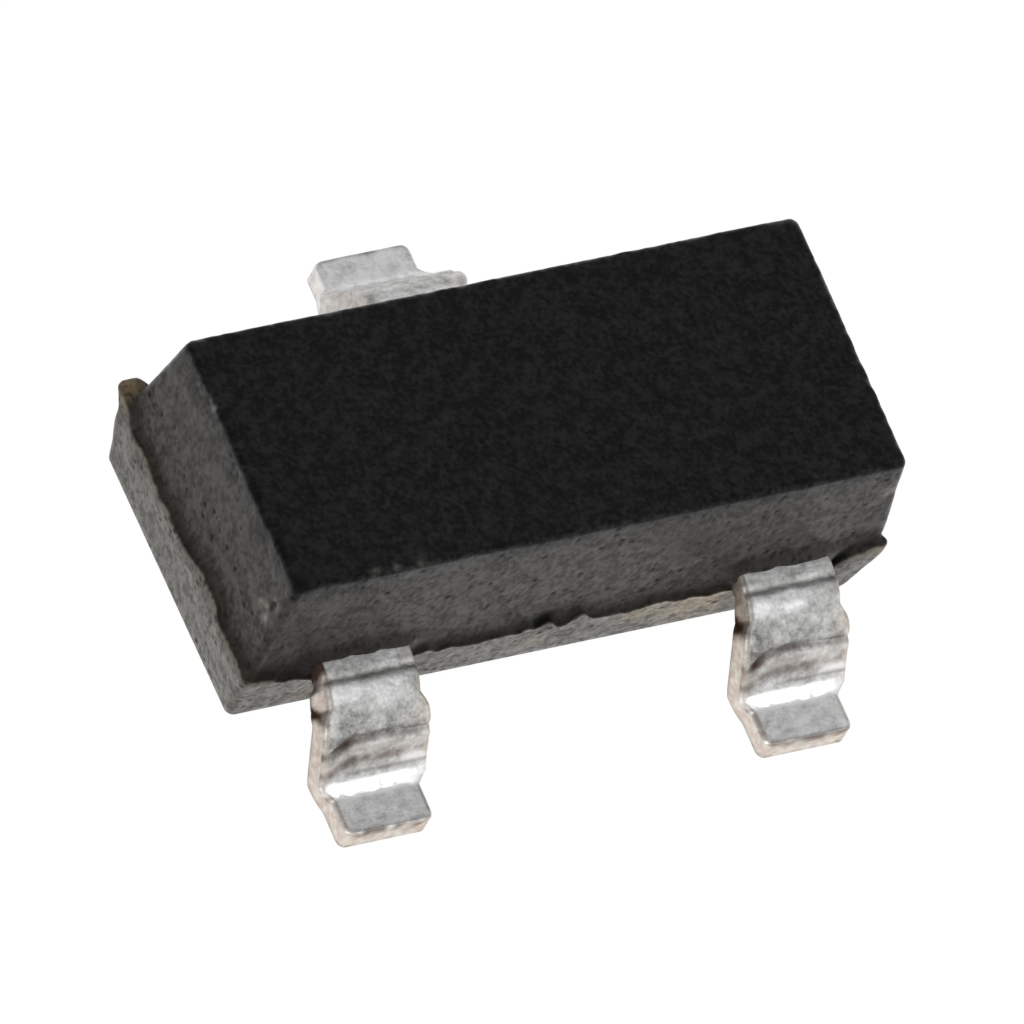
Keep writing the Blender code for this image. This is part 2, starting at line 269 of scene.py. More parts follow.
for name, box in studioSet["softboxes"].items():
    lamp = bpy.data.lights.new(name, "AREA")
    lamp.shape = "RECTANGLE"
    lamp.size, lamp.size_y = (side * mm for side in box["size"])
    lamp.energy = box["shine"] * math.pi * lamp.size * lamp.size_y
    item = bpy.data.objects.new(name, lamp)
    towards = Vector(box["towards"]).normalized()
    wide = (Vector((1, 0, 0)) - towards * towards.x).normalized()
    aim = Matrix((wide, towards.cross(wide), towards)).transposed().to_4x4()
    item.matrix_world = Matrix.Translation(towards * box["away"] * mm) @ aim
    item.visible_camera = False
    scene.collection.objects.link(item)
print("studio set")


# black epoxy moulding compound, transfer moulded: near black and matt, with a fine mineral grain

epoxySet = {
    "black": "#020203",  # resin with carbon black
    "filler": "#1d1d1f",  # silica filler just under the skin
    "paintedWallLight": "#4b463d",  # painted light on the drafted walls, which the top does not get
    "scuffed": "#8b867c",  # rubbed edges and fresh chips
    "tan": "#97815c",  # thin flash, where the resin is starved of black
    # painted shade in the hollow above the parting line
    "seamShade": "#050504",
    "ior": 1.55,
    "glossTint": "#6b6b6b",  # the grain breaks up the gloss where it is seen straight on
    "gloss": {"From Min": 0.82, "From Max": 1.18, "To Min": 0.46, "To Max": 0.26},  # duller between the grains
    "pitGloss": 0.25,  # how much duller the small pits are
    "seamGloss": 0.45,  # how much duller the band of painted shade over the seam is
    "dust": 0.06,  # fine mineral dust, a faint bloom at grazing angles
    "dustRoughness": 0.4,
    "grain": 0.022,  # the real filler is about 0.01 wide, drawn coarser so that it shows
    "drag": 0.75,  # below 1 the grain is drawn out up the walls, where the mould slid off
    "mottle": 0.062,
    "flecks": {"From Min": 0.84, "From Max": 1.24},  # where the pattern turns from resin to filler
    "markBreakup": {"From Min": 0.76, "From Max": 1.26, "To Min": 0.40, "To Max": 1.50},  # breaks up the painted marks, painted light and shade among them
    "pits": 0.044,  # spacing of the small holes where a grain has dropped out
    "pitShare": {"From Min": 0.45, "From Max": 0.75},  # which of the cells hold a hole
    "pitRim": {"From Min": 0.12, "From Max": 0.38, "To Min": 1.0, "To Max": 0.0},
    "pitShade": 0.75,  # how much of the painted wall light and the other marks a hole takes away
    "grainDepth": 0.0005,
    "mottleDepth": 0.0026,
    "pitDepth": 0.0016,
}


def makeEpoxy():
    s = epoxySet
    material, tree, shader, place, (flash, rubbed, dark, paintedWallLight) = newPainted("blackEpoxyMoulded")
    dragged = addNode(tree, "ShaderNodeMapping", {"Vector": place, "Scale": (1.0, 1.0, s["drag"])})
    grain = addNode(tree, "ShaderNodeTexNoise", {
        "Vector": dragged.outputs["Vector"], "Scale": perSize(s["grain"]), "Detail": 1.0,
    })
    mottle = addNode(tree, "ShaderNodeTexNoise", {
        "Vector": place, "Scale": perSize(s["mottle"]), "Detail": 2.0, "Roughness": 0.55,
    })
    pits = addNode(tree, "ShaderNodeTexVoronoi", {"Vector": place, "Scale": perSize(s["pits"])})
    chosen = addNode(tree, "ShaderNodeSeparateColor", {"Color": pits.outputs["Color"]})
    chosen = addNode(tree, "ShaderNodeMapRange", {"Value": chosen.outputs["Red"], **s["pitShare"]})
    inside = addNode(tree, "ShaderNodeMapRange", {"Value": pits.outputs["Distance"], **s["pitRim"]})
    pit = addNode(tree, "ShaderNodeMath", {
        0: chosen.outputs["Result"], 1: inside.outputs["Result"],
    }, operation="MULTIPLY")

    # colour: filler shows through the resin in grains, then what is painted on the mesh
    speckle = addNode(tree, "ShaderNodeMath", {
        0: grain.outputs["Fac"], 1: mottle.outputs["Fac"],
    }, operation="ADD")
    fleck = addNode(tree, "ShaderNodeMapRange", {"Value": speckle.outputs[0], **s["flecks"]})
    colour = addNode(tree, "ShaderNodeMix", {
        0: fleck.outputs["Result"], 6: hexColour(s["black"]), 7: hexColour(s["filler"]),
    }, data_type="RGBA")
    amount = addNode(tree, "ShaderNodeMapRange", {"Value": speckle.outputs[0], **s["markBreakup"]})
    clean = addNode(tree, "ShaderNodeMath", {0: pit.outputs[0], 1: -s["pitShade"], 2: 1.0},
                    operation="MULTIPLY_ADD")
    amount = addNode(tree, "ShaderNodeMath", {0: amount.outputs["Result"], 1: clean.outputs[0]},
                     operation="MULTIPLY")
    # the marks in turn: painted light on the walls, flash, rubbed places, painted shade over the seam
    for strength, tone in ((paintedWallLight, "paintedWallLight"), (flash, "tan"), (rubbed, "scuffed"), (dark, "seamShade")):
        share = addNode(tree, "ShaderNodeMath", {0: strength, 1: amount.outputs[0]}, operation="MULTIPLY",
                        use_clamp=True)
        colour = addNode(tree, "ShaderNodeMix", {
            0: share.outputs[0], 6: colour.outputs[2], 7: hexColour(s[tone]),
        }, data_type="RGBA")
    tree.links.new(colour.outputs[2], shader.inputs["Base Color"])

    # gloss: grains catch the light unevenly, pits and the band over the seam are duller
    uneven = addNode(tree, "ShaderNodeMapRange", {"Value": speckle.outputs[0], **s["gloss"]})
    dull = addNode(tree, "ShaderNodeMath", {
        0: pit.outputs[0], 1: s["pitGloss"], 2: uneven.outputs["Result"],
    }, operation="MULTIPLY_ADD")
    dull = addNode(tree, "ShaderNodeMath", {
        0: dark, 1: s["seamGloss"], 2: dull.outputs[0],
    }, operation="MULTIPLY_ADD", use_clamp=True)
    tree.links.new(dull.outputs[0], shader.inputs["Roughness"])
    shader.inputs["IOR"].default_value = s["ior"]
    shader.inputs["Specular Tint"].default_value = hexColour(s["glossTint"])
    shader.inputs["Sheen Weight"].default_value = s["dust"]
    shader.inputs["Sheen Roughness"].default_value = s["dustRoughness"]

    # relief: broad mottling, fine grain, and small round pits where filler has dropped out
    relief = {}
    for height, depth in ((mottle, "mottleDepth"), (grain, "grainDepth"), (clean, "pitDepth")):
        relief.update({"Height": height.outputs[0], "Distance": s[depth] * mm})
        relief["Normal"] = addNode(tree, "ShaderNodeBump", relief).outputs["Normal"]
    tree.links.new(relief["Normal"], shader.inputs["Normal"])
    return material


# moulded body: two drafted halves, a ragged ledge of flash between them

bodySet = {
    "parting": 0.40,
    "land": 0.012,  # half the height of the straight band at the parting line
    "ledge": 0.02,  # the lower half stands out this far all round
    "stretch": (0.996, 1.014),  # along and across, against the ideal outline
    "upperDraft": 5.5,
    "lowerDraft": 7.5,
    "lowerEndDraft": (10.0, 6.5),  # the lower half's ends, at the front and at the back
    "corner": 0.035,
    "edge": 0.016,
    "topEdge": 0.024,
    "edgeWander": 0.013,  # how far the top edge strays
    "edgeSag": 0.0015,  # and how far it is worn down
    "shift": 0.004,  # each mould half is this far out of line
    "lipRound": 0.012,
    "frontLip": 0.020,  # added to the front table, which was read at the lip's shaded side
    "hollow": 0.055,  # height over which the ledge sweeps up into the wall
    "spacing": 0.0086,  # between points round the body
    "lowerWallRows": 14,
    "upperWallRows": 26,
    "cornerSteps": 8,
    "lipWaves": [(0.0025, 0.024), (0.003, 0.013)],  # ragged lip: height and size of each wave
    "edgeWaves": [(0.7, 0.08), (0.8, 0.028)],  # shares of the edge's wander
    "wallWaves": [(0.0025, 0.28), (0.0016, 0.07), (0.0009, 0.024)],
    "flash": (0.001, 0.002, 0.05),  # how far the lip stands out, how much that varies, over what length
    "creep": (0.012, 0.014, 0.005),  # resin over the leads: least, more above, ragged by
    "creepHeight": (0.33, 0.38, 0.470, 0.510),
    "creepWidth": (0.18, 0.32),  # from the middle of a lead
    "runnerOut": 0.066,  # stump of the runner, at the back left corner
    "runnerSwell": 0.008,
    "wallLightUpper": 0.34,  # how much painted light the upper walls get, when the lower ones get 1
    "wallLightFade": (0.125, 0.004),  # below the top, where the painted wall light gives out
    "seed": 41,
    # height of the flash lip along the left end (by y), the front (by x), and the hidden sides
    "lipLeft": [
        (-0.655, 0.445), (-0.60, 0.440), (-0.525, 0.438), (-0.474, 0.438), (-0.44, 0.430), (-0.40, 0.430),
        (-0.371, 0.448), (-0.345, 0.470), (-0.29, 0.478), (-0.227, 0.472), (-0.17, 0.476), (-0.12, 0.450),
        (-0.07, 0.432), (0.0, 0.420), (0.07, 0.412), (0.13, 0.414), (0.155, 0.430), (0.19, 0.422),
        (0.22, 0.404), (0.282, 0.418), (0.308, 0.404), (0.36, 0.422), (0.40, 0.428), (0.46, 0.424),
        (0.50, 0.412), (0.55, 0.404), (0.58, 0.418), (0.60, 0.440), (0.65, 0.475),
    ],
    "lipFront": [
        (-1.465, 0.40), (-1.37, 0.385), (-1.328, 0.355), (-1.298, 0.345), (-1.26, 0.358), (-1.20, 0.335),
        (-1.15, 0.313), (-1.09, 0.308), (-0.95, 0.33), (-0.67, 0.345), (-0.64, 0.360), (-0.573, 0.328),
        (-0.54, 0.341), (-0.50, 0.340), (-0.466, 0.325), (-0.444, 0.333), (-0.383, 0.317), (-0.35, 0.334),
        (-0.25, 0.343), (-0.205, 0.337), (-0.18, 0.368), (-0.15, 0.358), (-0.104, 0.336), (-0.068, 0.390),
        (-0.04, 0.350), (-0.012, 0.322), (0.020, 0.334), (0.046, 0.374), (0.065, 0.400), (0.092, 0.392),
        (0.125, 0.345), (0.168, 0.334), (0.24, 0.327), (0.274, 0.336), (0.309, 0.320), (0.359, 0.326),
        (0.377, 0.343), (0.426, 0.354), (0.479, 0.355), (0.516, 0.335), (0.59, 0.336), (0.617, 0.345),
        (0.681, 0.325), (0.708, 0.325), (0.728, 0.338), (0.95, 0.34), (1.10, 0.335), (1.226, 0.292),
        (1.262, 0.292), (1.280, 0.368), (1.316, 0.400), (1.37, 0.42), (1.42, 0.452), (1.465, 0.44),
    ],
    "lipRight": [
        (-0.655, 0.44), (-0.61, 0.44), (-0.56, 0.405), (-0.3, 0.40), (0.1, 0.415), (0.4, 0.40),
        (0.655, 0.41),
    ],
    "lipBack": [
        (-1.465, 0.47), (-1.37, 0.47), (-1.31, 0.41), (-0.8, 0.40), (-0.2, 0.39), (0.2, 0.39), (0.9, 0.41),
        (1.465, 0.41),
    ],
    # place, size and depth of each chip
    "chips": [
        ((-1.406, -0.527, 0.778), 0.018, 0.024), ((-1.413, -0.500, 0.735), 0.020, 0.007),
        ((-1.39, -0.30, 0.95), 0.03, 0.006), ((-0.093, -0.635, 0.385), 0.040, 0.012),
        ((1.246, -0.646, 0.385), 0.035, 0.012), ((1.363, -0.591, 0.775), 0.03, 0.008),
        ((-1.353, -0.549, 0.974), 0.03, 0.008), ((-1.39, 0.332, 0.95), 0.022, 0.008),
    ],
    # place, size and strength of each patch of thin flash, rubbed place, and painted shade in a chip or by the
    # front left corner
    "tanSpots": [
        ((-1.41, 0.68, 0.47), 0.06, 0.50), ((1.44, -0.64, 0.43), 0.05, 0.35),
        ((0.378, -0.647, 0.299), 0.09, 0.36), ((0.661, -0.647, 0.275), 0.16, 0.62),
        ((-0.09, -0.64, 0.24), 0.06, 0.22), ((-1.10, -0.63, 0.20), 0.10, 0.30),
    ],
    "rubbedSpots": [
        ((-1.413, -0.476, 0.715), 0.018, 0.6), ((-1.411, -0.508, 0.735), 0.014, 0.7),
        ((-1.415, -0.533, 0.69), 0.018, 0.7), ((-1.414, -0.520, 0.705), 0.016, 0.5),
        ((1.363, -0.591, 0.775), 0.022, 0.4), ((0.984, -0.545, 0.975), 0.010, 0.30),
        ((-1.38, 0.28, 0.955), 0.015, 0.4), ((-1.022, -0.566, 0.97), 0.020, 0.22),
        ((-0.923, -0.565, 0.971), 0.016, 0.22), ((-0.82, -0.568, 0.97), 0.020, 0.22),
    ],
    "shadeSpots": [
        ((-1.406, -0.527, 0.778), 0.016, 1.0), ((-1.353, -0.549, 0.974), 0.045, 1.0),
        ((-0.093, -0.63, 0.39), 0.045, 1.0), ((1.246, -0.646, 0.39), 0.045, 1.0),
        ((-1.34, -0.60, 0.43), 0.07, 0.40), ((-1.21, -0.62, 0.42), 0.08, 0.40),
    ],
}

# the frame's leads: where each comes through the wall, and what is its own
leadPlaces = {
    "gate_lead": {
        "x": -0.946,  # of the foot's middle
        "facing": -1,  # -1 front, 1 back
        "skew": 0.014,  # how far the neck stands to the right of the foot
        "wider": 0.0,  # how much wider the foot is at its left
        "flare": 0.030,  # how far the neck's left cut flares out below
        "out": (0.0, 0.010, 0.010),  # how far out knee, heel and toe stand against the drawing
        "cutBrown": (1.1, 0.020),  # torn end of the cut bar: how brown, and how long
        "rootBrown": 0.95,  # left edge beside the body
        # outline inside the body: reach along the strip, left edge, right edge
        "inside": [(0.195, -0.19, 0.25), (0.245, -0.24, 0.30), (0.485, -0.24, 0.30), (0.535, -0.21, 0.21)],
    },
    "source_lead": {
        "x": 0.959, "facing": -1, "skew": 0.019, "wider": 0.0, "flare": 0.012,
        "out": (0.0, 0.010, 0.008), "cutBrown": (1.2, 0.030), "rootBrown": 0.6,
        "inside": [(0.195, -0.25, 0.19), (0.245, -0.30, 0.24), (0.485, -0.30, 0.24), (0.535, -0.21, 0.21)],
    },
    "drain_lead": {
        "x": 0.0, "facing": 1, "skew": -0.012, "wider": 0.034, "flare": 0.0,
        "out": (0.03, 0.038, -0.003), "cutBrown": (0.2, 0.016), "rootBrown": 0.6,
        "inside": [(-0.095, -0.45, 0.45), (-0.045, -0.50, 0.50), (0.435, -0.50, 0.50), (0.485, -0.45, 0.45),
                   (0.535, -0.21, 0.21)],
    },
}


def bodyStations(halfX, halfY):
    # places round the body: which corner or side of the core rectangle, and the outward direction
    core, outward = [], []
    steps = bodySet["cornerSteps"]
    corners = [(1, 1), (-1, 1), (-1, -1), (1, -1)]
    for turn, (x, y) in enumerate(corners):
        for step in range(steps + 1):
            angle = math.radians(90 * (turn + step / steps))
            core.append((x, y))
            outward.append((math.cos(angle), math.sin(angle)))
        nextX, nextY = corners[(turn + 1) % 4]
        run = abs(nextX - x) * halfX + abs(nextY - y) * halfY
        pieces = round(run / bodySet["spacing"])
        for step in range(1, pieces):
            part = step / pieces
            core.append((x + (nextX - x) * part, y + (nextY - y) * part))
            outward.append(outward[-1])
    return np.array(core), np.array(outward)


def lipHeights(place, core):
    # read the four tables, each on its own side of the body
    x, y = place[:, 0], place[:, 1]
    sides = {"lipRight": y, "lipLeft": y, "lipFront": x, "lipBack": x}
    reads = {name: np.interp(value, *np.array(bodySet[name]).T) for name, value in sides.items()}
    ends = np.where(core[:, 0] == -1, reads["lipLeft"], reads["lipRight"])
    ends = np.where(core[:, 1] == 1, reads["lipBack"], ends)
    return np.where(core[:, 1] == -1, reads["lipFront"] + bodySet["frontLip"], ends)


def makeBody(material):
    s = bodySet
    low, high = (np.array(corner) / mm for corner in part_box("mould_body"))
    halfX, halfY = (high[0] - low[0]) / 2, (high[1] - low[1]) / 2
    bottom, top = low[2], high[2]
    core, outward = bodyStations(halfX, halfY)
    place = core * (halfX, halfY)
    flat = np.column_stack([place, np.zeros(len(place))])
    seed = s["seed"]

    lip = lipHeights(place, core)
    kernel = np.hanning(9) / np.hanning(9).sum()
    lip = np.convolve(np.concatenate([lip[-4:], lip, lip[:4]]), kernel, "valid")
    lip = lip + layered(flat, s["lipWaves"], seed + 1)
    standing, varying, size = s["flash"]
    outFlash = standing + varying * swells(flat, size, seed + 3)
    wander = layered(flat, s["edgeWaves"], seed + 4)

    heights, insetsX, insetsY, shifts, pushes = [], [], [], [], []

    def addRow(height, insetX, insetY=None, shift=0.0, push=0.0):
        ones = np.ones(len(place))
        heights.append(height * ones)
        insetsX.append(insetX * ones)
        insetsY.append((insetX if insetY is None else insetY) * ones)
        shifts.append(shift)
        pushes.append(push * ones)

    def lowerInset(height, draft):
        fall = np.maximum(s["parting"] - s["land"] - height, 0)
        return fall * np.tan(np.radians(draft))

    def upperInset(height):
        climb = np.maximum(height - s["parting"] - s["land"], 0)
        return s["ledge"] + climb * math.tan(math.radians(s["upperDraft"]))

    edge, draftY = s["edge"], s["lowerDraft"]
    draftX = np.interp(place[:, 1], (-halfY, halfY), s["lowerEndDraft"])
    lowX, lowY = lowerInset(bottom, draftX), lowerInset(bottom, draftY)
    for inset in (0.45, 0.30, 0.15, 0.07, 0.02):  # underside
        addRow(bottom, inset + lowX, inset + lowY, -1)
    for angle in (0, 22, 45, 68, 90):  # rounded lower edge
        turned = math.radians(angle)
        pull = edge * (1 - math.sin(turned))
        addRow(bottom + edge * (1 - math.cos(turned)), pull + lowX, pull + lowY, -1)
    wallStart = bottom + edge
    wallEnd = lip - s["lipRound"]
    for row in range(1, s["lowerWallRows"] + 1):
        part = row / s["lowerWallRows"]
        height = wallStart + (wallEnd - wallStart) * part
        proud = outFlash * part ** 6
        addRow(height, lowerInset(height, draftX), lowerInset(height, draftY), -1, proud)
    proud = outFlash
    for angle in (30, 60, 90):  # the lip turns over
        turned = math.radians(angle)
        addRow(wallEnd + s["lipRound"] * math.sin(turned), s["lipRound"] * (1 - math.cos(turned)),
               shift=-1, push=proud)
    hollow = s["hollow"]
    start, finish = s["lipRound"], upperInset(lip + hollow)
    for part in (0.12, 0.28, 0.46, 0.64, 0.82, 1.0):  # the ledge sweeps up into the wall
        addRow(lip + hollow * (1 - math.sqrt(1 - part ** 2)),
               start + (finish - start) * (1 - (1 - part) ** 1.5),
               shift=-1 + 2 * part, push=proud * (1 - part))
    wallStart = lip + hollow
    topEdge = s["topEdge"]
    wallEnd = top - topEdge
    for row in range(1, s["upperWallRows"] + 1):
        part = row / s["upperWallRows"]
        height = wallStart + (wallEnd - wallStart) * part
        addRow(height, upperInset(height), shift=1)
    last = upperInset(wallEnd)
    stray = s["edgeWander"] * wander
    for angle in (18, 36, 54, 72, 90):  # worn top edge
        turned = math.radians(angle)
        sag = s["edgeSag"] * np.abs(wander) * math.sin(2 * turned)
        addRow(wallEnd + (top - wallEnd) * math.sin(turned) - sag,
               last + (topEdge + stray) * (1 - math.cos(turned)), shift=1)
    for inset in (0.012, 0.05, 0.12, 0.25, 0.42):  # top face
        addRow(top, last + topEdge + stray * max(0, 1 - inset / 0.05) + inset, shift=1)

    height, insetX, insetY = np.array(heights), np.array(insetsX), np.array(insetsY)
    shift = np.array(shifts)[:, None] * s["shift"]
    push = np.array(pushes)
    radius = s["corner"]
    along, across = s["stretch"]
    x = core[:, 0] * (halfX * along - insetX - radius) + outward[:, 0] * (radius + push) + shift
    y = core[:, 1] * (halfY * across - insetY - radius) + outward[:, 1] * (radius + push) + shift
    rings = np.stack([x, y, height], axis=-1)

    # soft unevenness of the walls, resin that crept out over the leads, chips
    wall = between(height, bottom + 0.01, bottom + 0.06, top - 0.02, top - 0.002)
    offset = wall * layered(rings, s["wallWaves"], seed + 6)
    least, above, ragged = s["creep"]
    for lead in leadPlaces.values():
        near = 1 - rise(np.abs(rings[..., 0] - lead["x"] - lead["skew"]), *s["creepWidth"])
        near *= core[:, 1] == lead["facing"]
        creep = least + above * rise(rings[..., 2], 0.35, 0.42) + ragged * swells(rings, 0.045, seed + 11)
        offset += near * creep * between(height, *s["creepHeight"])
    offset -= spotsOn(rings, s["chips"])
    rings[..., 0] += outward[:, 0] * offset
    rings[..., 1] += outward[:, 1] * offset
    # what is left of the runner at the back left corner, broken off
    over = height - lip
    runner = (1 - rise(rings[..., 0], -1.375, -1.305)) * rise(rings[..., 1], 0.59, 0.64)
    swollen = runner * hump(height, 0.30, 0.12)
    rings[..., 0] -= s["runnerSwell"] * swollen
    rings[..., 1] += s["runnerSwell"] * swollen
    runner *= np.clip((height - 0.39) / 0.07, 0, 1) * (1 - rise(over, -0.002, 0.010))
    rings[..., 1] += s["runnerOut"] * runner
    rings[..., 2] = np.minimum(rings[..., 2], top)

    # painted marks: red tan flash, green rubbed pale, blue painted shade in the hollow over the seam, in chips
    # and by the front left corner
    marks = np.zeros(rings.shape[:2] + (4,))
    alongX = rings[..., 0]
    leftEnd = core[:, 0] == -1
    patchyShade = 0.75 + 0.25 * swells(rings, 0.12, seed + 9)
    reach = 0.17 + 0.18 * (1 - rise(alongX, -1.05, -0.45)) + 0.13 * hump(alongX, 0.85, 0.30)
    reach += 0.05 * swells(rings, 0.09, seed + 12)
    reach = np.where(leftEnd, 0.24, reach)  # how far up the wall the painted shade fades
    band = (over > -0.003) * (1 - np.clip(over / reach, 0, 1)) ** 1.1 * patchyShade * (1 - runner)
    darkness = 0.66 + 0.2 * (1 - rise(alongX, -1.15, -0.8))
    marks[..., 2] = band * np.where(leftEnd, 0.5, darkness)
    marks[..., 1] = 0.25 * hump(over, -0.012, 0.014) * (0.5 + 0.5 * swells(rings, 0.06, seed + 10))
    thinFlash = (over < -0.004) | (runner > 0.2)
    marks[..., 0] = spotsOn(rings, s["tanSpots"]) * thinFlash
    marks[..., 1] += spotsOn(rings, s["rubbedSpots"])
    marks[..., 2] += spotsOn(rings, s["shadeSpots"])
    # painted light on the walls: none on top, some on the upper walls, most on the lower walls
    uneven = height + 0.022 * swells(rings, 0.045, seed + 13)
    fadeStart, fadeEnd = (top - depth for depth in s["wallLightFade"])
    upperWallLight = s["wallLightUpper"]
    paintedWallLight = upperWallLight + (1 - upperWallLight) * (over < -0.003)
    marks[..., 3] = paintedWallLight * (1 - rise(uneven, fadeStart, fadeEnd))
    makeSkin("mouldedBody", rings, marks, material, "mould_body")


# matt tin plate on stamped and bent copper alloy strip: pale grey, finely nodular, burnished in the heel

tinSet = {
    "tin": "#f6f6f6",
    "tinShade": "#777673",
    "bright": "#fbfbfb",  # where the forming tool pressed it smooth, and the painted highlight patch below the knee
    "alloy": "#cdbab0",  # cut edges, where the strip shows a thin pinkish skin; also tints painted reflections and a painted highlight by the knee
    "alloyLight": "#dfd7c9",
    # tarnish, and also the colour of painted shade on the leads
    "tarnishAndShade": "#463020",
    "roughness": 0.46,
    "burnishAndHighlight": 0.27,
    "grain": 0.014,  # tin nodules, about the real size
    "mottle": 0.038,
    "patch": 0.10,
    "contrast": 0.9,  # of the plate's light and dark blotches
    "blotchMiddle": 1.1,  # where the summed patterns lie on average
    "patchShare": 0.7,
    "grainShare": 0.5,
    "skin": {"From Min": 0.40, "From Max": 0.60},
    "calmed": 0.12,  # how much relief is left where it is burnished and at the painted highlight patch
    "dirtAndShadeDull": 0.25,
    "grainDepth": 0.0007,
    "mottleDepth": 0.0026,
}


def makeTin():
    s = tinSet
    material, tree, shader, place, (bareAndPaintedLight, dirtAndShade, burnishAndHighlight, plate) = newPainted("mattTinPlatedAlloy")
    grain = addNode(tree, "ShaderNodeTexNoise", {
        "Vector": place, "Scale": perSize(s["grain"]), "Detail": 1.0,
    })
    mottle = addNode(tree, "ShaderNodeTexNoise", {
        "Vector": place, "Scale": perSize(s["mottle"]), "Detail": 3.0, "Roughness": 0.6,
    })
    patch = addNode(tree, "ShaderNodeTexNoise", {
        "Vector": place, "Scale": perSize(s["patch"]), "Detail": 1.0,
    })

    # colour: plate in light and dark blotches about the painted light and shade on the mesh, then the other
    # marks
    blotch = addNode(tree, "ShaderNodeMath", {
        0: patch.outputs["Fac"], 1: s["patchShare"], 2: mottle.outputs["Fac"],
    }, operation="MULTIPLY_ADD")
    blotch = addNode(tree, "ShaderNodeMath", {
        0: grain.outputs["Fac"], 1: s["grainShare"], 2: blotch.outputs[0],
    }, operation="MULTIPLY_ADD")
    shift = addNode(tree, "ShaderNodeMath", {
        0: blotch.outputs[0], 1: s["contrast"], 2: -s["blotchMiddle"] * s["contrast"],
    }, operation="MULTIPLY_ADD")
    shade = addNode(tree, "ShaderNodeMath", {0: shift.outputs[0], 1: plate}, operation="ADD", use_clamp=True)
    colour = addNode(tree, "ShaderNodeMix", {
        0: shade.outputs[0], 6: hexColour(s["tinShade"]), 7: hexColour(s["tin"]),
    }, data_type="RGBA")
    skin = addNode(tree, "ShaderNodeMapRange", {"Value": mottle.outputs["Fac"], **s["skin"]})
    edge = addNode(tree, "ShaderNodeMix", {
        0: skin.outputs["Result"], 6: hexColour(s["alloy"]), 7: hexColour(s["alloyLight"]),
    }, data_type="RGBA")
    layers = (
        (burnishAndHighlight, hexColour(s["bright"])), (bareAndPaintedLight, edge.outputs[2]),
        (dirtAndShade, hexColour(s["tarnishAndShade"])),
    )
    for share, tone in layers:
        colour = addNode(tree, "ShaderNodeMix", {0: share, 6: colour.outputs[2], 7: tone}, data_type="RGBA")
    tree.links.new(colour.outputs[2], shader.inputs["Base Color"])
    polish = addNode(tree, "ShaderNodeMapRange", {
        "Value": burnishAndHighlight, "To Min": s["roughness"], "To Max": s["burnishAndHighlight"],
    })
    dull = addNode(tree, "ShaderNodeMath", {
        0: dirtAndShade, 1: s["dirtAndShadeDull"], 2: polish.outputs["Result"],
    }, operation="MULTIPLY_ADD", use_clamp=True)
    tree.links.new(dull.outputs[0], shader.inputs["Roughness"])
    shader.inputs["Metallic"].default_value = 1.0
    calm = addNode(tree, "ShaderNodeMapRange", {
        "Value": burnishAndHighlight, "To Min": 1.0, "To Max": s["calmed"],
    }).outputs["Result"]
    relief = {"Strength": calm}
    for height, depth in ((mottle, "mottleDepth"), (grain, "grainDepth")):
        relief.update({"Height": height.outputs["Fac"], "Distance": s[depth] * mm})
        relief["Normal"] = addNode(tree, "ShaderNodeBump", relief).outputs["Normal"]
    tree.links.new(relief["Normal"], shader.inputs["Normal"])
    return material


# leads: the stamped strip followed along its gull-wing bend

leadSet = {
    "sheet": 0.11,
    "middle": 0.40,  # height of the strip's middle where it leaves the body
    "wall": 0.655,  # from the middle of the body
    "stripReach": 0.09,  # straight out of the wall
    "kneeReach": 0.235,
    "kneeDrop": 0.08,
    "footStart": 1.025,
    "toe": 1.25,
    "bends": (0.10, 0.10, 0.125),  # radii, from the wall outwards
    "neckHalf": 0.21,
    "footHalf": 0.20,
    "stub": 0.032,  # what is left of the cut bar on each side
    "roll": 0.018,  # radius of the upper edges
    "burr": 0.004,
    "toeRound": 0.035,
    "endRound": 0.006,
    # places along the strip
    "groove": 0.731,  # the tool's line near the body
    "grooveDepth": 0.008,
    "kneeLine": 0.941,
    "kneeDepth": 0.012,
    "kneeRise": 0.004,  # the plate stands up this much beyond the knee line
    "cutBar": 0.858,  # middle of the torn cut
    "neck": (0.69, 0.77, 0.82, 0.90),  # where the left cut flares out
    "lean": (0.56, 0.64, 0.72, 0.88),  # where the neck leans over
    "shoulder": (0.745, 0.765, 0.83, 0.90),
    "footEdge": (1.24, 1.28),
    "heelBright": (1.122, 1.142, 1.252, 1.285),  # burnished by the tool
    "plateWaves": [(0.0022, 0.09), (0.0012, 0.03)],
    "shoulderWave": (0.0018, 0.022),
    # painted light and shade along the strip: how light the plate is, from 0 to 1
    "tones": [
        (0.60, 0.95), (0.66, 0.88), (0.695, 0.52), (0.718, 0.36), (0.731, 0.42), (0.750, 0.60), (0.775, 0.70),
        (0.79, 0.74), (0.805, 0.68), (0.83, 0.56), (0.86, 0.46), (0.90, 0.27), (0.94, 0.14), (0.975, 0.46),
        (1.01, 0.44), (1.05, 0.30), (1.08, 0.42), (1.12, 0.52), (1.25, 0.82), (1.42, 0.84),
    ],
    # how strong each stain and each painted shade is
    "stainsAndShade": {"rolledEdge": 0.32, "rightKnee": 0.4, "toeCorner": 0.5, "kneeLeft": 0.20, "kneeLine": 0.62,
               "kneeFront": 0.25, "olive": 0.58, "heelLine": 0.36, "footEdge": 0.40, "toeRim": 0.52,
               "toeFace": (0.06, 0.22, 0.36), "burr": 0.30, "toeRight": 0.20},
    "spacing": 0.0072,
    "bendSteps": 24,
    "seed": 73,
}


